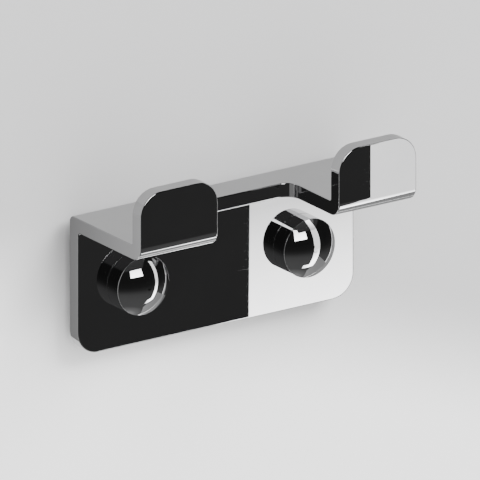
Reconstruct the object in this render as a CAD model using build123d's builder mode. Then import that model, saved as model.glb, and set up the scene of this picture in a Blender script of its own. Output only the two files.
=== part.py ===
from build123d import *
import os
from math import sqrt

# Wall hook rack: one bent sheet with two hooks, clamped by two cap nuts to bases that are screwed
# to the wall.
# Frame: the wall is the plane y = 0, the room is on its -Y side, +X is to the right and +Z is up.
# The origin lies on the wall, midway between the two wall screws.

# Hook plate
RACK_WIDTH = 107.8
SHEET = 5.0
STAND_OFF = 2.9               # from the wall to the plate's back
DROP = 21.8                   # from the screw line down to the plate's lower edge
RISE = 25.4                   # from the screw line up to the flange's top
HOOK_REACH = 36.0             # from the plate's front to the tab's front
LEDGE_DEPTH = 13.3            # of the narrow flange between the hooks, from the plate's back
HOOK_WIDTH = 30.2
TAB_HEIGHT = 23.2             # from the tongue's underside to the tab's top
BEND_INSIDE = 0.6
TOP_BEND_OUTSIDE = 2.2        # where the flange leaves the plate
TAB_BEND_OUTSIDE = 5.0        # where the tab leaves the tongue
CORNER_RADIUS = 8.0           # lower corners of the plate and upper corners of the tabs
NOTCH_RADIUS = 4.8            # where a tongue leaves the narrow flange
EDGE_RADIUS = 0.4
CUT_MARGIN = 5.0              # how far the notch is cut past the metal

# Fixings, one set at each screw
SCREW_SPACING = 65.0
BASE_RADIUS = 9.0
PAD_THICKNESS = 0.5
SPIGOT_RADIUS = 4.95
SPIGOT_REACH = 5.2            # past the plate's front
THREAD_RADIUS = 5.0           # of the knob's bore, M10 x 1
PLATE_HOLE_RADIUS = 5.2
KNOB_RADIUS = 10.0
KNOB_SIDE = 6.0               # height of the straight side
KNOB_EDGE_RADIUS = 0.3
DOME_RADIUS = 15.5
KNOB_GAP = 0.05               # between the knob and the plate, which the washer keeps open
BORE_DEPTH = 6.0
WASHER_RADIUS = 7.5
WASHER_THICKNESS = 0.5
WASHER_CLEARANCE = 0.1
BASE_CHAMFER = 0.4
KNOB_BACK_RADIUS = 0.1

SCREW_HOLE_RADIUS = 2.3
SCREW_RADIUS = 2.0
NECK_RADIUS = 1.5
HEAD_RADIUS = 3.75
HEAD_RIM = 0.2
HEAD_SINK = 0.2               # of the head, below the spigot's end
HEAD_CLEARANCE = 0.02
COUNTERSINK_ANGLE = 90.0
SCREW_IN_WALL = 32.0
SCREW_POINT = 4.0
SCREW_TIP_RADIUS = 0.3
CROSS_LENGTH = 4.4
CROSS_WIDTH = 0.9
CROSS_DEPTH = 1.8
CROSS_TAPER = 8.0

back = -STAND_OFF
front = back - SHEET
tab_front = front - HOOK_REACH
tab_back = tab_front + SHEET
ledge_front = back - LEDGE_DEPTH
flange_under = RISE - SHEET
tab_top = flange_under + TAB_HEIGHT
half_width = RACK_WIDTH / 2
hook_inner = half_width - HOOK_WIDTH
EPS = 1e-3

os.makedirs("parts", exist_ok=True)


def front_plane(y, x=0.0, z=0.0):
    """A sketch plane parallel to the wall at depth y, with its normal towards the room."""
    return Plane(origin=(x, y, z), x_dir=(1, 0, 0), z_dir=(0, -1, 0))


def corner_at(sketch, x, y):
    """The sketch's corner nearest to a point given in the sketch's own coordinates."""
    return sketch.vertices().sort_by(lambda corner: abs(corner.X - x) + abs(corner.Y - y))[0]


def turning_plane(x):
    """A plane through a screw's axis. Its X runs outwards from the axis and its Y into the wall."""
    return Plane(origin=(x, 0, 0), x_dir=(1, 0, 0), z_dir=(0, 0, 1))


# Hook plate: the side view of the bent sheet, drawn in the YZ plane and drawn out over the width.
with BuildPart() as hook_plate:
    with BuildSketch(Plane.YZ) as side_view:
        with BuildLine():
            Polyline(
                (back, -DROP),
                (back, RISE),
                (tab_back, RISE),
                (tab_back, tab_top),
                (tab_front, tab_top),
                (tab_front, flange_under),
                (front, flange_under),
                (front, -DROP),
                close=True,
            )
        make_face()
        fillet(corner_at(side_view, front, flange_under), BEND_INSIDE)
        fillet(corner_at(side_view, tab_back, RISE), BEND_INSIDE)
        fillet(corner_at(side_view, back, RISE), TOP_BEND_OUTSIDE)
        fillet(corner_at(side_view, tab_front, flange_under), TAB_BEND_OUTSIDE)
    extrude(amount=half_width, both=True)

    # The notch leaves the narrow flange between the two tongues.
    with BuildSketch(Plane.XY.offset(flange_under - CUT_MARGIN)) as notch:
        with BuildLine():
            Polyline(
                (-hook_inner, tab_front - CUT_MARGIN),
                (-hook_inner, ledge_front),
                (hook_inner, ledge_front),
                (hook_inner, tab_front - CUT_MARGIN),
                close=True,
            )
        make_face()
        fillet(notch.vertices().group_by(Axis.Y)[-1], NOTCH_RADIUS)
    extrude(amount=TAB_HEIGHT + 2 * CUT_MARGIN, mode=Mode.SUBTRACT)

    # Round the plate's lower corners and the tabs' upper corners.
    across = hook_plate.edges().filter_by(Axis.Y)
    fillet(across.group_by(Axis.Z)[0] + across.group_by(Axis.Z)[-1], CORNER_RADIUS)

    # Soften every sharp edge. The bends' tangent lines run along X between the sheet's ends, and the
    # corners' tangent lines are as long as the sheet is thick.
    soft = hook_plate.edges().filter_by(lambda edge: abs(edge.length - SHEET) > EPS)
    bends = soft.filter_by(Axis.X).filter_by(
        lambda edge: -DROP + EPS < edge.center().Z < tab_top - EPS
        and abs(edge.center().Y - ledge_front) > EPS
    )
    fillet(soft - bends, EDGE_RADIUS)

    # Holes for the spigots.
    with BuildSketch(front_plane(back)):
        with GridLocations(SCREW_SPACING, 1, 2, 1):
            Circle(PLATE_HOLE_RADIUS)
    extrude(amount=SHEET, both=True, mode=Mode.SUBTRACT)

hook_plate.part.label = "hook_plate"
export_step(hook_plate.part, "parts/hook_plate.step")

spigot_end = front - SPIGOT_REACH
countersink_radius = HEAD_RADIUS + HEAD_SINK + HEAD_RIM + HEAD_CLEARANCE
head_face = spigot_end + HEAD_SINK
head_depth = HEAD_RADIUS - NECK_RADIUS
knob_back = front - KNOB_GAP
knob_rim = knob_back - KNOB_SIDE
dome_centre = knob_rim + sqrt(DOME_RADIUS**2 - KNOB_RADIUS**2)
knob_top = dome_centre - DOME_RADIUS
recess_radius = WASHER_RADIUS + WASHER_CLEARANCE
half_chord = KNOB_RADIUS / 2
dome_middle = (half_chord, dome_centre - sqrt(DOME_RADIUS**2 - half_chord**2))

for side, x in (("left", -SCREW_SPACING / 2), ("right", SCREW_SPACING / 2)):
    # Rubber pad between the base and the wall.
    with BuildPart() as wall_pad:
        with BuildSketch(front_plane(0, x)):
            Circle(BASE_RADIUS)
            Circle(SCREW_HOLE_RADIUS, mode=Mode.SUBTRACT)
        extrude(amount=PAD_THICKNESS)
    wall_pad.part.label = f"{side}_wall_pad"
    export_step(wall_pad.part, f"parts/{side}_wall_pad.step")

    # Base: a disc that holds the plate off the wall, and a spigot that passes through the plate.
    with BuildPart() as wall_base:
        with BuildSketch(front_plane(-PAD_THICKNESS, x)):
            Circle(BASE_RADIUS)
        extrude(amount=STAND_OFF - PAD_THICKNESS)
        chamfer(wall_base.edges().filter_by(GeomType.CIRCLE).group_by(Axis.Y)[0], BASE_CHAMFER)
        with BuildSketch(front_plane(back, x)):
            Circle(SPIGOT_RADIUS)
        extrude(amount=back - spigot_end)
        chamfer(wall_base.edges().filter_by(GeomType.CIRCLE).group_by(Axis.Y)[0], BASE_CHAMFER)
        with Locations(front_plane(spigot_end, x).location):
            CounterSinkHole(SCREW_HOLE_RADIUS, countersink_radius, counter_sink_angle=COUNTERSINK_ANGLE)
    wall_base.part.label = f"{side}_wall_base"
    export_step(wall_base.part, f"parts/{side}_wall_base.step")

    # Countersunk screw: its head lies in the spigot's mouth and its thread starts at the wall.
    with BuildPart() as wall_screw:
        with BuildSketch(turning_plane(x)):
            with BuildLine():
                Polyline(
                    (0, head_face),
                    (HEAD_RADIUS, head_face),
                    (HEAD_RADIUS, head_face + HEAD_RIM),
                    (NECK_RADIUS, head_face + HEAD_RIM + head_depth),
                    (NECK_RADIUS, 0),
                    (SCREW_RADIUS, 0),
                    (SCREW_RADIUS, SCREW_IN_WALL - SCREW_POINT),
                    (SCREW_TIP_RADIUS, SCREW_IN_WALL),
                    (0, SCREW_IN_WALL),
                    close=True,
                )
            make_face()
        revolve(axis=Axis((x, 0, 0), (0, 1, 0)))
        with BuildSketch(front_plane(head_face, x)):
            Rectangle(CROSS_LENGTH, CROSS_WIDTH)
            Rectangle(CROSS_WIDTH, CROSS_LENGTH)
        extrude(amount=-CROSS_DEPTH, taper=CROSS_TAPER, mode=Mode.SUBTRACT)
    wall_screw.part.label = f"{side}_wall_screw"
    export_step(wall_screw.part, f"parts/{side}_wall_screw.step")

    # Nylon washer, carried in the knob's back.
    with BuildPart() as knob_washer:
        with BuildSketch(front_plane(front, x)):
            Circle(WASHER_RADIUS)
            Circle(PLATE_HOLE_RADIUS, mode=Mode.SUBTRACT)
        extrude(amount=WASHER_THICKNESS)
    knob_washer.part.label = f"{side}_knob_washer"
    export_step(knob_washer.part, f"parts/{side}_knob_washer.step")

    # Knob: a cap nut with a straight side and a domed front, bored blind for the thread.
    with BuildPart() as knob:
        with BuildSketch(turning_plane(x)) as profile:
            with BuildLine():
                side_line = Polyline((0, knob_back), (KNOB_RADIUS, knob_back), (KNOB_RADIUS, knob_rim))
                dome = ThreePointArc(side_line @ 1, dome_middle, (0, knob_top))
                Line(dome @ 1, side_line @ 0)
            make_face()
            fillet(corner_at(profile, KNOB_RADIUS, knob_rim), KNOB_EDGE_RADIUS)
        revolve(axis=Axis((x, 0, 0), (0, 1, 0)))
        fillet(knob.edges().filter_by(GeomType.CIRCLE).group_by(Axis.Y)[-1], KNOB_BACK_RADIUS)
        with BuildSketch(front_plane(knob_back, x)):
            Circle(recess_radius)
        extrude(amount=WASHER_THICKNESS, mode=Mode.SUBTRACT)
        with BuildSketch(front_plane(knob_back, x)):
            Circle(THREAD_RADIUS)
        extrude(amount=BORE_DEPTH, mode=Mode.SUBTRACT)
    knob.part.label = f"{side}_knob"
    export_step(knob.part, f"parts/{side}_knob.step")
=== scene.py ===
import bpy
import math
import numpy as np
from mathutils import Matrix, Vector


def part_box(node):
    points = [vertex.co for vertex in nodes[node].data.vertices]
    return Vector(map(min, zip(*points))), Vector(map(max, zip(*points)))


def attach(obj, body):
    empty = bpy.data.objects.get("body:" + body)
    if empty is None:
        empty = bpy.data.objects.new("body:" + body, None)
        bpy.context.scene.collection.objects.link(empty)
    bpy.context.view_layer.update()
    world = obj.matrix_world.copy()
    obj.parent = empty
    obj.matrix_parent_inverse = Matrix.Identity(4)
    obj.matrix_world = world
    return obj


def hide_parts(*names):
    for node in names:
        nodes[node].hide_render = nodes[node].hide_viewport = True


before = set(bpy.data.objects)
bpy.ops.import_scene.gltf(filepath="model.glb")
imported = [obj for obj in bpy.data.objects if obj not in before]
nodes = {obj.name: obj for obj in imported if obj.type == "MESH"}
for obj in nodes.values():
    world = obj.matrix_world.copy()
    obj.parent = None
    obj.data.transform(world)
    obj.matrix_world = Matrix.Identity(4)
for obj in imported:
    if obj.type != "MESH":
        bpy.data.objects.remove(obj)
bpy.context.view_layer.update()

MM = 0.001


# ---------------------------------------------------------------------------------------------------
# Wall pads
# A thin ring of moulded black rubber lies between each base and the wall. Four raised rings on its
# wall side grip the plaster, and the wall screw presses it flat.
# ---------------------------------------------------------------------------------------------------

PAD_HOLE = 2.3 * MM
PAD_EDGE = 0.12 * MM
PAD_RINGS = 4
PAD_GROOVE = 0.16 * MM
PAD_STEP = 0.09 * MM
PAD_TURNS = 128
SHARP_EDGE = math.radians(35)
TOUCHING = 1e-6                 # two places nearer than this are one, in metres


def profile(corners, step):
    """A turned profile's points. Each straight run between two corners is divided evenly into pieces no
    longer than the step, and every corner is kept. Columns: radius from the axis, depth along it."""
    corners = np.asarray(corners, dtype=float)
    starts, ends = corners[:-1], corners[1:]
    counts = np.maximum(np.ceil(np.linalg.norm(ends - starts, axis=1) / step).astype(int), 1)
    share = np.concatenate([np.arange(count) / count for count in counts])[:, None]
    runs = np.repeat(starts, counts, axis=0) * (1 - share) + np.repeat(ends, counts, axis=0) * share
    return np.vstack((runs, corners[-1:]))


def turned_piece(name, axis_x, radius, depth, poles=False):
    """A surface turned about a screw's axis. The point of row r and column c lies at radius[r, c] from
    the axis, c / columns of a full turn round it, at depth[r, c]. The last row joins the first, or with
    poles each end of the profile is closed by one point on the axis."""
    rows, turns = radius.shape
    angle = np.arange(turns) * (2 * np.pi / turns)
    points = np.stack((axis_x + radius * np.cos(angle), depth, radius * np.sin(angle)), axis=-1)
    points = points.reshape(-1, 3)
    row, column = np.meshgrid(np.arange(rows - 1 if poles else rows), np.arange(turns), indexing="ij")
    below = (row + 1) % rows * turns
    beside = (column + 1) % turns
    quads = np.stack((row * turns + column, below + column, below + beside, row * turns + beside), axis=-1)
    quads = quads.reshape(-1, 4)
    fans = np.zeros((0, 3), dtype=int)
    if poles:
        first, last = len(points), len(points) + 1
        ends = [(axis_x, depth[0].mean(), 0.0), (axis_x, depth[-1].mean(), 0.0)]
        points = np.vstack((points, ends))
        ring = np.arange(turns)
        after = (ring + 1) % turns
        tail = (rows - 1) * turns
        fans = np.vstack((
            np.stack((np.full(turns, first), ring, after), axis=-1),
            np.stack((np.full(turns, last), tail + after, tail + ring), axis=-1),
        ))
    a, b, c, d = (points[quads[:, k]] for k in range(4))
    volume = (np.cross(b, c) * a).sum() + (np.cross(c, d) * a).sum()
    if volume < 0:
        quads, fans = quads[:, ::-1], fans[:, ::-1]
    mesh = bpy.data.meshes.new(name)
    mesh.from_pydata(points.tolist(), [], quads.tolist() + fans.tolist())
    mesh.polygons.foreach_set("use_smooth", np.ones(len(mesh.polygons), dtype=bool))
    mesh.set_sharp_from_angle(angle=SHARP_EDGE)
    piece = bpy.data.objects.new(name, mesh)
    bpy.context.scene.collection.objects.link(piece)
    return piece


def add(tree, kind, inputs=(), **settings):
    """Adds a node, with its settings, to a tree. An input is given as its name or number and either the
    socket that feeds it or its value."""
    node = tree.nodes.new(kind)
    for key, value in settings.items():
        setattr(node, key, value)
    for key, value in dict(inputs).items():
        if isinstance(value, bpy.types.NodeSocket):
            tree.links.new(value, node.inputs[key])
        else:
            node.inputs[key].default_value = value
    return node


def new_group(name, inputs, outputs):
    """A shader node group with float inputs (vector where the name is Vector) and float outputs.
    Returns the group, its input node and its output node."""
    group = bpy.data.node_groups.new(name, "ShaderNodeTree")
    for key in inputs:
        kind = "NodeSocketVector" if key == "Vector" else "NodeSocketFloat"
        group.interface.new_socket(key, in_out="INPUT", socket_type=kind)
    for key in outputs:
        group.interface.new_socket(key, in_out="OUTPUT", socket_type="NodeSocketFloat")
    return group, group.nodes.new("NodeGroupInput"), group.nodes.new("NodeGroupOutput")


def use_group(tree, group, inputs):
    """Places a shader node group in a material with its own values."""
    return add(tree, "ShaderNodeGroup", inputs, node_tree=group)


# Cloudy marks: soft noise whose middle range is spread from Low to High.
cloudy, given, result = new_group("cloudy marks", ("Vector", "Scale", "Low", "High"), ("Value",))
noise = add(cloudy, "ShaderNodeTexNoise", {
    "Vector": given.outputs["Vector"], "Scale": given.outputs["Scale"], "Detail": 4.0, "Roughness": 0.6})
spread = add(cloudy, "ShaderNodeMapRange", {
    "Value": noise.outputs["Fac"], "From Min": 0.3, "From Max": 0.7,
    "To Min": given.outputs["Low"], "To Max": given.outputs["High"]})
cloudy.links.new(spread.outputs["Result"], result.inputs["Value"])


def start_material(name):
    """A new material's tree, its Principled shader and the Object coordinates."""
    material = bpy.data.materials.new(name)
    material.use_nodes = True
    tree = material.node_tree
    where = add(tree, "ShaderNodeTexCoord").outputs["Object"]
    return material, tree, tree.nodes["Principled BSDF"], where


def tinted(tree, where, scale, dark, light):
    """A colour that drifts between a dark and a light one over cloudy marks."""
    marks = use_group(tree, cloudy, {"Vector": where, "Scale": scale, "Low": 0.0, "High": 1.0})
    ramp = add(tree, "ShaderNodeValToRGB", {"Fac": marks.outputs["Value"]})
    ramp.color_ramp.elements[0].color = (*dark, 1)
    ramp.color_ramp.elements[1].color = (*light, 1)
    return ramp.outputs["Color"]


def rubber_material():
    """Black moulded rubber: a matt skin with a fine grain and pale dust in soft patches."""
    material, tree, shader, where = start_material("pad rubber")
    colour = tinted(tree, where, scale=260.0, dark=(0.018, 0.018, 0.02), light=(0.075, 0.073, 0.07))
    tree.links.new(colour, shader.inputs["Base Color"])
    rough = use_group(tree, cloudy, {"Vector": where, "Scale": 900.0, "Low": 0.62, "High": 0.88})
    tree.links.new(rough.outputs["Value"], shader.inputs["Roughness"])
    grain = add(tree, "ShaderNodeTexNoise", {"Vector": where, "Scale": 6000.0, "Detail": 2.0})
    bump = add(tree, "ShaderNodeBump", {
        "Height": grain.outputs["Fac"], "Strength": 0.35, "Distance": 0.02 * MM})
    tree.links.new(bump.outputs["Normal"], shader.inputs["Normal"])
    shader.inputs["Specular IOR Level"].default_value = 0.35
    return material


def wall_pad(side, material):
    """Turns one pad: two flat faces, rounded edges and, on the wall side, grooves that follow a cosine
    of the radius and so leave raised rings."""
    low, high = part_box(f"{side}_wall_pad")
    axis_x, outer = (low[0] + high[0]) / 2, (high[0] - low[0]) / 2
    front, rear = low[1], high[1]
    line = profile([
        (PAD_HOLE, front), (outer - PAD_EDGE, front), (outer, front + PAD_EDGE), (outer, rear - PAD_EDGE),
        (outer - PAD_EDGE, rear), (PAD_HOLE, rear), (PAD_HOLE, front + PAD_EDGE)], PAD_STEP)
    radius, depth = line[:, 0], line[:, 1]
    share = np.clip((radius - PAD_HOLE) / (outer - PAD_EDGE - PAD_HOLE), 0, 1)
    groove = 0.5 - 0.5 * np.cos(2 * np.pi * PAD_RINGS * share)
    depth = np.where(depth > rear - 0.5 * PAD_EDGE, depth - PAD_GROOVE * groove, depth)
    turns = np.ones((1, PAD_TURNS))
    piece = turned_piece(f"{side}_grip_pad", axis_x, radius[:, None] * turns, depth[:, None] * turns)
    piece.data.materials.append(material)
    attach(piece, "rack")
    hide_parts(f"{side}_wall_pad")


rubber = rubber_material()
for side in ("left", "right"):
    wall_pad(side, rubber)


# ---------------------------------------------------------------------------------------------------
# Wall bases
# A steel disc on each side holds the plate off the wall. Its rim is knurled for the fingers, and a
# spigot with a fine M10 thread runs forward through the plate to take the knob. Turned from bar.
# ---------------------------------------------------------------------------------------------------

BASE_HOLE = 2.3 * MM
BASE_CHAMFER = 0.4 * MM
SPIGOT_RADIUS = 4.95 * MM
COUNTERSINK = 4.17 * MM
THREAD_PITCH = 1.0 * MM
THREAD_DEPTH = 0.52 * MM
THREAD_FADE = 0.6 * MM
KNURL_TEETH = 72
KNURL_DEPTH = 0.14 * MM
BASE_STEP = 0.17 * MM
BASE_TURNS = 432

# Turned lines: fine noise that changes only with the distance from an axis and along it, as a
# lathe's tool leaves it. Centre is the axis's place across the rack, Fineness the lines a metre.
turned_lines, given, result = new_group("turned lines", ("Vector", "Centre", "Fineness"), ("Height",))
split = add(turned_lines, "ShaderNodeSeparateXYZ", {"Vector": given.outputs["Vector"]})
across = add(turned_lines, "ShaderNodeMath", {
    0: split.outputs["X"], 1: given.outputs["Centre"]}, operation="SUBTRACT")
flat = add(turned_lines, "ShaderNodeCombineXYZ", {"X": across.outputs[0], "Y": split.outputs["Z"]})
reach = add(turned_lines, "ShaderNodeVectorMath", {0: flat.outputs[0]}, operation="LENGTH")
path = add(turned_lines, "ShaderNodeMath", {
    0: reach.outputs["Value"], 1: split.outputs["Y"]}, operation="SUBTRACT")
lines = add(turned_lines, "ShaderNodeMath", {
    0: path.outputs[0], 1: given.outputs["Fineness"]}, operation="MULTIPLY")
rings = add(turned_lines, "ShaderNodeTexNoise", {
    "W": lines.outputs[0], "Scale": 1.0, "Detail": 3.0, "Roughness": 0.7}, noise_dimensions="1D")
turned_lines.links.new(rings.outputs["Fac"], result.inputs["Height"])


def turned_steel_material(name, axis_x, dark, light, rough, fineness, bump_depth):
    """Steel as the lathe leaves it: rings about the axis in its height, and cloudy colour and gloss."""
    material, tree, shader, where = start_material(name)
    colour = tinted(tree, where, scale=420.0, dark=dark, light=light)
    tree.links.new(colour, shader.inputs["Base Color"])
    gloss = use_group(tree, cloudy, {"Vector": where, "Scale": 700.0, "Low": rough[0], "High": rough[1]})
    tree.links.new(gloss.outputs["Value"], shader.inputs["Roughness"])
    marks = use_group(tree, turned_lines, {"Vector": where, "Centre": axis_x, "Fineness": fineness})
    bump = add(tree, "ShaderNodeBump", {
        "Height": marks.outputs["Height"], "Strength": 0.5, "Distance": bump_depth})
    tree.links.new(bump.outputs["Normal"], shader.inputs["Normal"])
    shader.inputs["Metallic"].default_value = 1.0
    return material


def wall_base(side):
    """Turns one base. The rim's radius falls by a raised cosine for each knurled tooth, and the
    spigot's falls by a triangle wave that climbs one pitch a turn, fading at both ends."""
    low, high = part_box(f"{side}_wall_base")
    axis_x, outer = (low[0] + high[0]) / 2, (high[0] - low[0]) / 2
    tip, rear, seat = low[1], high[1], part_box("hook_plate")[1][1]
    line = profile([
        (BASE_HOLE, rear), (outer, rear), (outer, seat + BASE_CHAMFER), (outer - BASE_CHAMFER, seat),
        (SPIGOT_RADIUS, seat), (SPIGOT_RADIUS, tip + BASE_CHAMFER), (SPIGOT_RADIUS - BASE_CHAMFER, tip),
        (COUNTERSINK, tip), (BASE_HOLE, tip + COUNTERSINK - BASE_HOLE), (BASE_HOLE, rear - BASE_STEP)],
        BASE_STEP)
    angle = np.arange(BASE_TURNS) * (2 * np.pi / BASE_TURNS)
    radius = line[:, :1] * np.ones(BASE_TURNS)
    depth = line[:, 1:] * np.ones(BASE_TURNS)
    knurl = KNURL_DEPTH * (0.5 + 0.5 * np.cos(KNURL_TEETH * angle))
    radius = np.where(radius > outer - KNURL_DEPTH, radius - knurl, radius)
    climb = depth / THREAD_PITCH + angle / (2 * np.pi)
    wave = np.abs(2 * (climb - np.floor(climb)) - 1)
    fade = np.clip(np.minimum(seat - depth, depth - tip) / THREAD_FADE, 0, 1)
    threaded = np.abs(radius - SPIGOT_RADIUS) < TOUCHING
    radius = np.where(threaded, radius - THREAD_DEPTH * wave * fade, radius)
    piece = turned_piece(f"{side}_threaded_base", axis_x, radius, depth)
    piece.data.materials.append(turned_steel_material(
        f"turned steel {side}", axis_x, dark=(0.42, 0.42, 0.43), light=(0.6, 0.6, 0.605),
        rough=(0.2, 0.36), fineness=9000.0, bump_depth=0.006 * MM))
    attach(piece, "rack")
    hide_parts(f"{side}_wall_base")


for side in ("left", "right"):
    wall_base(side)


# ---------------------------------------------------------------------------------------------------
# Wall screws
# A zinc-plated countersunk wood screw with a cross recess holds each base. Its head lies in the
# mouth of the spigot, and its rolled thread runs into the plug in the wall.
# ---------------------------------------------------------------------------------------------------

SCREW_HEAD_RIM = 0.2 * MM
SCREW_NECK = 1.5 * MM
SCREW_CORE = 1.35 * MM
SCREW_CREST = 2.0 * MM
SCREW_PITCH = 1.8 * MM
SCREW_RIDGE = 0.2               # half the ridge's width, as a share of the pitch
SCREW_RUN_OUT = 3.0 * MM
SCREW_POINT = 4.0 * MM
SCREW_TIP = 0.12                # the tip's thickness, as a share of the shank's
CROSS_LENGTH = 4.4 * MM
CROSS_WIDTH = 0.9 * MM
CROSS_DEPTH = 1.8 * MM
CROSS_SLOPE = 0.16 * MM
SCREW_STEP = 0.15 * MM
SCREW_TURNS = 96


def wall_screw(side):
    """Turns one screw. The head's face dips where a point lies within the arms of a cross; the shank's
    radius rises from the core by a triangular ridge that climbs one pitch a turn, and both taper to the
    point."""
    low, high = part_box(f"{side}_wall_screw")
    axis_x, head = (low[0] + high[0]) / 2, (high[0] - low[0]) / 2
    face, end = low[1], high[1]
    line = profile([
        (SCREW_STEP, face), (head, face), (head, face + SCREW_HEAD_RIM),
        (SCREW_NECK, face + SCREW_HEAD_RIM + head - SCREW_NECK), (SCREW_NECK, 0.0),
        (SCREW_CORE, 2 * SCREW_STEP), (SCREW_CORE, end)], SCREW_STEP)
    angle = np.arange(SCREW_TURNS) * (2 * np.pi / SCREW_TURNS)
    radius = line[:, :1] * np.ones(SCREW_TURNS)
    depth = line[:, 1:] * np.ones(SCREW_TURNS)
    along, up = np.abs(radius * np.cos(angle)), np.abs(radius * np.sin(angle))
    inside = np.minimum(CROSS_WIDTH / 2 - np.minimum(along, up), CROSS_LENGTH / 2 - np.maximum(along, up))
    arms = np.clip(inside / CROSS_SLOPE, 0, 1)
    dip = CROSS_DEPTH * (1 - np.maximum(along, up) / CROSS_LENGTH)
    on_face = depth <= face + TOUCHING
    depth = np.where(on_face, depth + dip * arms, depth)
    climb = depth / SCREW_PITCH - angle / (2 * np.pi)
    ridge = np.clip(1 - np.abs(climb - np.floor(climb) - 0.5) / SCREW_RIDGE, 0, 1)
    ridge = ridge * np.clip(depth / SCREW_RUN_OUT, 0, 1)
    taper = np.clip((end - depth) / SCREW_POINT, SCREW_TIP, 1)
    in_wall = (depth > 2 * SCREW_STEP - TOUCHING) & ~on_face
    radius = np.where(in_wall, (SCREW_CORE + (SCREW_CREST - SCREW_CORE) * ridge) * taper, radius)
    piece = turned_piece(f"{side}_threaded_screw", axis_x, radius, depth, poles=True)
    piece.data.materials.append(turned_steel_material(
        f"zinc plate {side}", axis_x, dark=(0.5, 0.47, 0.4), light=(0.7, 0.69, 0.66),
        rough=(0.24, 0.42), fineness=3000.0, bump_depth=0.004 * MM))
    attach(piece, "rack")
    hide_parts(f"{side}_wall_screw")


for side in ("left", "right"):
    wall_screw(side)


# ---------------------------------------------------------------------------------------------------
# Hook plate
# One piece of thick stainless sheet: a back plate, a flange bent forward from its top edge and, at
# each end, a tongue with an upturned tab. Cut, bent, its edges rounded, then mirror polished.
# ---------------------------------------------------------------------------------------------------

STEEL_DARK = (0.585, 0.585, 0.592)
STEEL_LIGHT = (0.625, 0.625, 0.63)


def polished_steel_material():
    """Mirror-polished sheet: hardly any roughness, a faint haze in clouds where cloths have wiped it,
    and sparse hairlines along its length."""
    material, tree, shader, where = start_material("polished steel")
    colour = tinted(tree, where, scale=45.0, dark=STEEL_DARK, light=STEEL_LIGHT)
    tree.links.new(colour, shader.inputs["Base Color"])
    stretched = add(tree, "ShaderNodeMapping", {"Vector": where, "Scale": (90.0, 2600.0, 2600.0)})
    hair = add(tree, "ShaderNodeTexNoise", {
        "Vector": stretched.outputs["Vector"], "Scale": 1.0, "Detail": 2.0, "Roughness": 0.55})
    sparse = add(tree, "ShaderNodeMapRange", {
        "Value": hair.outputs["Fac"], "From Min": 0.66, "From Max": 0.82, "To Min": 0.0, "To Max": 0.05})
    haze = use_group(tree, cloudy, {"Vector": where, "Scale": 70.0, "Low": 0.006, "High": 0.02})
    gloss = add(tree, "ShaderNodeMath", {0: haze.outputs["Value"], 1: sparse.outputs["Result"]})
    tree.links.new(gloss.outputs[0], shader.inputs["Roughness"])
    bump = add(tree, "ShaderNodeBump", {
        "Height": sparse.outputs["Result"], "Strength": 0.1, "Distance": 0.001 * MM})
    tree.links.new(bump.outputs["Normal"], shader.inputs["Normal"])
    shader.inputs["Metallic"].default_value = 1.0
    return material


def dress(node, material):
    """Gives a carried-over CAD piece its material."""
    piece = nodes[node]
    if piece.data.materials:
        piece.material_slots[0].material = material
    else:
        piece.data.materials.append(material)


dress("hook_plate", polished_steel_material())


# ---------------------------------------------------------------------------------------------------
# Knob washers
# A thin ring of milky nylon, pressed into each knob's back, rubs on the plate instead of the steel.
# Punched from sheet, with broken edges.
# ---------------------------------------------------------------------------------------------------

WASHER_HOLE = 5.2 * MM
WASHER_EDGE = 0.08 * MM
WASHER_STEP = 0.12 * MM
WASHER_TURNS = 160


def nylon_material():
    """Milky nylon: light sinks in a little, with faint clouds and a satin skin."""
    material, tree, shader, where = start_material("washer nylon")
    colour = tinted(tree, where, scale=380.0, dark=(0.78, 0.765, 0.7), light=(0.88, 0.875, 0.83))
    tree.links.new(colour, shader.inputs["Base Color"])
    skin = use_group(tree, cloudy, {"Vector": where, "Scale": 1500.0, "Low": 0.34, "High": 0.5})
    tree.links.new(skin.outputs["Value"], shader.inputs["Roughness"])
    shader.inputs["Subsurface Weight"].default_value = 0.25
    shader.inputs["Subsurface Radius"].default_value = (0.0006, 0.0005, 0.0004)
    return material


def knob_washer(side, material):
    """Turns one washer: a flat ring whose four edges are broken at forty-five degrees."""
    low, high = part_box(f"{side}_knob_washer")
    axis_x, outer = (low[0] + high[0]) / 2, (high[0] - low[0]) / 2
    front, rear, edge = low[1], high[1], WASHER_EDGE
    line = profile([
        (WASHER_HOLE, front + edge), (WASHER_HOLE + edge, front), (outer - edge, front),
        (outer, front + edge), (outer, rear - edge), (outer - edge, rear), (WASHER_HOLE + edge, rear),
        (WASHER_HOLE, rear - edge)], WASHER_STEP)
    turns = np.ones((1, WASHER_TURNS))
    piece = turned_piece(f"{side}_nylon_ring", axis_x, line[:, :1] * turns, line[:, 1:] * turns)
    piece.data.materials.append(material)
    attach(piece, f"{side}_washer")
    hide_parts(f"{side}_knob_washer")


nylon = nylon_material()
for side in ("left", "right"):
    knob_washer(side, nylon)


# ---------------------------------------------------------------------------------------------------
# Knobs
# Round steel cap nuts with a low dome clamp the plate to the spigots. Turned, threaded blind and
# mirror polished as they spin, which leaves the faintest rings.
# ---------------------------------------------------------------------------------------------------

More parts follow.
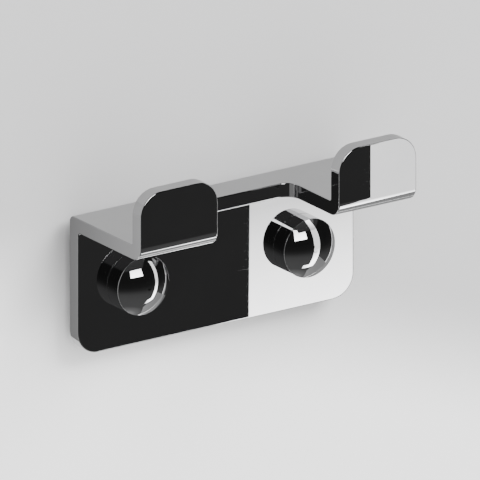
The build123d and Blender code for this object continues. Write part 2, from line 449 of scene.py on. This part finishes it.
def polished_knob_material(side):
    """Spun mirror polish: the sheet's colour, with faint rings in the gloss about the knob's axis."""
    low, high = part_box(f"{side}_knob")
    axis_x = (low[0] + high[0]) / 2
    material, tree, shader, where = start_material(f"polished knob {side}")
    colour = tinted(tree, where, scale=120.0, dark=STEEL_DARK, light=STEEL_LIGHT)
    tree.links.new(colour, shader.inputs["Base Color"])
    rings = use_group(tree, turned_lines, {"Vector": where, "Centre": axis_x, "Fineness": 5000.0})
    gloss = add(tree, "ShaderNodeMapRange", {
        "Value": rings.outputs["Height"], "From Min": 0.35, "From Max": 0.75, "To Min": 0.006,
        "To Max": 0.026})
    tree.links.new(gloss.outputs["Result"], shader.inputs["Roughness"])
    bump = add(tree, "ShaderNodeBump", {
        "Height": rings.outputs["Height"], "Strength": 0.05, "Distance": 0.001 * MM})
    tree.links.new(bump.outputs["Normal"], shader.inputs["Normal"])
    shader.inputs["Metallic"].default_value = 1.0
    return material


for side in ("left", "right"):
    dress(f"{side}_knob", polished_knob_material(side))


# ---------------------------------------------------------------------------------------------------
# Wall and floor
# A pale painted wall behind the rack, with painted shade that darkens it above and towards the right,
# and a pale floor below. The wall is open behind the plate and clear from behind, so that the fixings
# can be looked at from there.
# ---------------------------------------------------------------------------------------------------

WALL_HALF = 3.0
WALL_TOP = 2.0
FLOOR_Z = -1.2
FLOOR_DEPTH = 3.0
OPENING = (-0.045, 0.045, -0.013, 0.016)
# Painted shade: the wall's colour fades from a dark shaded tone above to the pale paint below, along a
# slant that also darkens it towards the right.
WALL_PAINTED_SHADE = (0.46, 0.46, 0.463)
WALL_UNSHADED = (0.86, 0.86, 0.86)
WALL_SHADE_FADE = (0.004, -0.045)
WALL_SHADE_DIRECTION = (0.35, 0.0, 1.0)


def flat_sheet(name, corners, faces, material):
    """A stage surface of flat faces."""
    mesh = bpy.data.meshes.new(name)
    mesh.from_pydata(corners, [], faces)
    mesh.materials.append(material)
    piece = bpy.data.objects.new(name, mesh)
    bpy.context.scene.collection.objects.link(piece)
    return piece


def wall_paint_and_shade():
    """Matt paint with painted shade: darker above and towards the right, with a very fine roller texture;
    clear when seen from behind.
    """
    material, tree, shader, where = start_material("wall paint and painted shade")
    # Painted shade: the base colour darkens above and to the right over a smooth fade.
    rise = add(tree, "ShaderNodeVectorMath", {0: where, 1: WALL_SHADE_DIRECTION}, operation="DOT_PRODUCT")
    height = add(tree, "ShaderNodeMapRange", {
        "Value": rise.outputs["Value"], "From Min": WALL_SHADE_FADE[0], "From Max": WALL_SHADE_FADE[1]},
        interpolation_type="SMOOTHSTEP")
    ramp = add(tree, "ShaderNodeValToRGB", {"Fac": height.outputs["Result"]})
    ramp.color_ramp.elements[0].color = (*WALL_PAINTED_SHADE, 1)
    ramp.color_ramp.elements[1].color = (*WALL_UNSHADED, 1)
    tree.links.new(ramp.outputs["Color"], shader.inputs["Base Color"])
    roller = add(tree, "ShaderNodeTexNoise", {"Vector": where, "Scale": 900.0, "Detail": 2.0})
    bump = add(tree, "ShaderNodeBump", {
        "Height": roller.outputs["Fac"], "Strength": 0.12, "Distance": 0.05 * MM})
    tree.links.new(bump.outputs["Normal"], shader.inputs["Normal"])
    shader.inputs["Roughness"].default_value = 0.9
    shader.inputs["Specular IOR Level"].default_value = 0.1
    behind = add(tree, "ShaderNodeNewGeometry").outputs["Backfacing"]
    clear = add(tree, "ShaderNodeBsdfTransparent")
    choice = add(tree, "ShaderNodeMixShader", {0: behind, 1: shader.outputs[0], 2: clear.outputs[0]})
    tree.links.new(choice.outputs[0], tree.nodes["Material Output"].inputs["Surface"])
    return material


def floor_paint():
    """Pale matt floor with a hardly visible mottle."""
    material, tree, shader, where = start_material("floor paint")
    colour = tinted(tree, where, scale=3.0, dark=(0.74, 0.74, 0.74), light=(0.8, 0.8, 0.8))
    tree.links.new(colour, shader.inputs["Base Color"])
    shader.inputs["Roughness"].default_value = 0.8
    return material


x0, x1, z0, z1 = OPENING
flat_sheet("wall", [
    (-WALL_HALF, 0, FLOOR_Z), (WALL_HALF, 0, FLOOR_Z), (WALL_HALF, 0, WALL_TOP), (-WALL_HALF, 0, WALL_TOP),
    (x0, 0, z0), (x1, 0, z0), (x1, 0, z1), (x0, 0, z1)],
    [(0, 1, 5, 4), (1, 2, 6, 5), (2, 3, 7, 6), (3, 0, 4, 7)], wall_paint_and_shade())
floor = flat_sheet("floor", [
    (-WALL_HALF, -FLOOR_DEPTH, FLOOR_Z), (WALL_HALF, -FLOOR_DEPTH, FLOOR_Z),
    (WALL_HALF, FLOOR_DEPTH, FLOOR_Z), (-WALL_HALF, FLOOR_DEPTH, FLOOR_Z)],
    [(0, 1, 2, 3)], floor_paint())
floor.visible_glossy = False


# ---------------------------------------------------------------------------------------------------
# Studio light
# A bright sky and a soft key light the wall, while polished metal sees a dark studio with a few lit
# cards: near ones on the right, one in front, a tall one on the left, and boards along the wall that
# show the steel a painted reflection of shade on the wall.
# ---------------------------------------------------------------------------------------------------

SKY_FOR_WALL = 1.62
SKY_LEAN = (0.5, 0.0, 0.65)     # the sky is brighter from the right and from above
SKY_FOR_CAMERA = 1.4
REAR_ROOM = 1.2
KEY_PLACE = (0.9, -1.3, 1.5)
KEY_SIZE = 1.2
KEY_POWER = 90.0
# The dark room's light, as (height of the direction from -1 down to 1 up, strength).
ROOM_LIGHT = (
    (-1.0, 0.5), (-0.985, 0.45), (-0.95, 0.23), (-0.87, 0.11), (-0.67, 0.105), (-0.5, 0.09), (-0.41, 0.064),
    (-0.33, 0.036), (-0.21, 0.02), (0.0, 0.015))


def card(name, corners, low, high, fade, axis="Z"):
    """A lit card that only reflections see. Its light runs from low to high along one axis of the
    room, between the two places in fade."""
    material = bpy.data.materials.new(name)
    material.use_nodes = True
    tree = material.node_tree
    tree.nodes.remove(tree.nodes["Principled BSDF"])
    where = add(tree, "ShaderNodeTexCoord").outputs["Object"]
    split = add(tree, "ShaderNodeSeparateXYZ", {"Vector": where})
    light = add(tree, "ShaderNodeMapRange", {
        "Value": split.outputs[axis], "From Min": fade[0], "From Max": fade[1], "To Min": low,
        "To Max": high})
    glow = add(tree, "ShaderNodeEmission", {"Strength": light.outputs["Result"]})
    tree.links.new(glow.outputs[0], tree.nodes["Material Output"].inputs["Surface"])
    piece = flat_sheet(name, corners, [(0, 1, 2, 3)], material)
    piece.visible_camera = False
    piece.visible_diffuse = False
    piece.visible_shadow = False
    return piece


def across(depth, left, right, bottom, top):
    """Corners of an upright card that stands across the room at one depth. Left and right are each
    side's place at the bottom and at the top."""
    return [
        (left[0], depth, bottom), (right[0], depth, bottom), (right[1], depth, top), (left[1], depth, top)]


def beside(place, near, far, bottom, top):
    """Corners of an upright card that stands to one side and runs from near to far."""
    return [(place, near, bottom), (place, far, bottom), (place, far, top), (place, near, top)]


RIGHT_CARD_Y = -0.112
RIGHT_CARD_EDGE = (0.130, 0.130)
card("right card low", across(
    RIGHT_CARD_Y, left=(0.0830, 0.0843), right=RIGHT_CARD_EDGE, bottom=-0.16, top=-0.023),
    low=8.8, high=2.2, fade=(-0.10, -0.029))
card("right card middle", across(
    RIGHT_CARD_Y, left=(0.0865, 0.0865), right=RIGHT_CARD_EDGE, bottom=-0.023, top=-0.010),
    low=2.2, high=2.2, fade=(-0.023, -0.010))
card("right card high", across(
    RIGHT_CARD_Y, left=(0.0824, 0.0824), right=RIGHT_CARD_EDGE, bottom=-0.010, top=0.105),
    low=2.2, high=2.2, fade=(-0.010, 0.105))
card("hook card", across(
    RIGHT_CARD_Y, left=(0.049, 0.049), right=(0.0828, 0.0832), bottom=-0.16, top=-0.12),
    low=4.0, high=7.0, fade=(0.049, 0.083), axis="X")
card("front card", across(
    -0.6, left=(-0.19, -0.19), right=(0.15, 0.15), bottom=0.13, top=0.46),
    low=9.0, high=4.0, fade=(0.13, 0.46))
card("left card", beside(-0.45, near=-0.378, far=-0.01, bottom=-0.5, top=0.5),
     low=0.25, high=0.25, fade=(-0.5, 0.5))
card("low card", beside(0.25, near=-0.26, far=0.0, bottom=-0.6, top=-0.17),
     low=0.5, high=0.36, fade=(-0.6, -0.17))

# Boards close in front of the wall, which show in the steel's edges and on the flange. They are
# # painted reflection of shade: dim glowing sheets that only reflections see, standing in for a shaded
# wall.
SHADE_BOARD_Y = -0.0006
SHADE_BOARD_SIDE = 0.0545
# Painted shade in reflections: each board glows dimmer than the lit wall, darkest next to the plate.
card("left shade board", across(
    SHADE_BOARD_Y, left=(-0.35, -0.35), right=(-SHADE_BOARD_SIDE, -SHADE_BOARD_SIDE), bottom=-0.2, top=0.06),
    low=0.62, high=0.34, fade=(-0.084, -0.056), axis="X")
card("right shade board", across(
    SHADE_BOARD_Y, left=(SHADE_BOARD_SIDE, SHADE_BOARD_SIDE), right=(0.25, 0.25), bottom=-0.2, top=0.01),
    low=0.5, high=0.42, fade=(0.056, 0.12), axis="X")
card("upper shade board", across(
    SHADE_BOARD_Y, left=(-0.2, -0.2), right=(0.3, 0.3), bottom=0.0262, top=0.2),
    low=0.72, high=0.66, fade=(0.03, 0.2))
card("lower shade board", across(
    SHADE_BOARD_Y, left=(-SHADE_BOARD_SIDE, -SHADE_BOARD_SIDE), right=(SHADE_BOARD_SIDE, SHADE_BOARD_SIDE), bottom=-0.2, top=-0.028),
    low=0.55, high=0.45, fade=(-0.2, -0.028))

world = bpy.data.worlds.new("studio")
bpy.context.scene.world = world
world.use_nodes = True
sky = world.node_tree
heading = add(sky, "ShaderNodeTexCoord").outputs["Generated"]
direction = add(sky, "ShaderNodeSeparateXYZ", {"Vector": heading})
level = add(sky, "ShaderNodeMapRange", {"Value": direction.outputs["Z"], "From Min": -1.0, "From Max": 1.0})
falling = add(sky, "ShaderNodeValToRGB", {"Fac": level.outputs["Result"]})
while len(falling.color_ramp.elements) < len(ROOM_LIGHT):
    falling.color_ramp.elements.new(1.0)
for element, (height, strength) in zip(falling.color_ramp.elements, ROOM_LIGHT):
    element.position = (height + 1) / 2
    element.color = (strength, strength, strength, 1)
rearward = add(sky, "ShaderNodeMapRange", {
    "Value": direction.outputs["Y"], "From Min": 0.0, "From Max": 0.5, "To Min": 0.0, "To Max": REAR_ROOM})
seen_by_metal = add(sky, "ShaderNodeMath", {0: falling.outputs["Color"], 1: rearward.outputs["Result"]})
ray = add(sky, "ShaderNodeLightPath")
dark = add(sky, "ShaderNodeBackground", {"Strength": seen_by_metal.outputs[0]})
lean = add(sky, "ShaderNodeVectorMath", {0: heading, 1: SKY_LEAN}, operation="DOT_PRODUCT")
slanted = add(sky, "ShaderNodeMath", {
    0: lean.outputs["Value"], 1: SKY_FOR_WALL, 2: SKY_FOR_WALL}, operation="MULTIPLY_ADD")
soft = add(sky, "ShaderNodeBackground", {"Strength": slanted.outputs[0]})
pale = add(sky, "ShaderNodeBackground", {"Strength": SKY_FOR_CAMERA})
for background in (dark, soft, pale):
    background.inputs["Color"].default_value = (1, 1, 1, 1)
reflected = add(sky, "ShaderNodeMixShader", {
    0: ray.outputs["Is Glossy Ray"], 1: soft.outputs[0], 2: dark.outputs[0]})
seen = add(sky, "ShaderNodeMixShader", {
    0: ray.outputs["Is Camera Ray"], 1: reflected.outputs[0], 2: pale.outputs[0]})
sky.links.new(seen.outputs[0], sky.nodes["World Output"].inputs["Surface"])


def soft_light(name, place, size, power):
    """A square soft light that faces the rack and that polished metal doesn't see."""
    data = bpy.data.lights.new(name, "AREA")
    data.size = size
    data.energy = power
    lamp = bpy.data.objects.new(name, data)
    lamp.location = place
    lamp.rotation_mode = "QUATERNION"
    lamp.rotation_quaternion = (-Vector(place)).to_track_quat("-Z", "Y")
    lamp.visible_glossy = False
    bpy.context.scene.collection.objects.link(lamp)


soft_light("key", KEY_PLACE, KEY_SIZE, KEY_POWER)


# ---------------------------------------------------------------------------------------------------
# Camera
# Parallel view from the left and a little above.
# ---------------------------------------------------------------------------------------------------

AZIMUTH = math.radians(-34.3)
ELEVATION = math.radians(19.3)
VIEW_WIDTH = 0.155
VIEW_DISTANCE = 1.5
AIM_RIGHT = 0.01225
AIM_UP = 0.0049

back = Vector((
    math.sin(AZIMUTH) * math.cos(ELEVATION), -math.cos(AZIMUTH) * math.cos(ELEVATION), math.sin(ELEVATION)))
right = Vector((math.cos(AZIMUTH), math.sin(AZIMUTH), 0))
camera_data = bpy.data.cameras.new("camera")
camera_data.type = "ORTHO"
camera_data.ortho_scale = VIEW_WIDTH
camera_data.clip_start = 0.01
camera_data.clip_end = 20
camera = bpy.data.objects.new("camera", camera_data)
camera.location = right * AIM_RIGHT + back.cross(right) * AIM_UP + back * VIEW_DISTANCE
camera.rotation_mode = "QUATERNION"
camera.rotation_quaternion = (-back).to_track_quat("-Z", "Y")
bpy.context.scene.collection.objects.link(camera)
bpy.context.scene.camera = camera
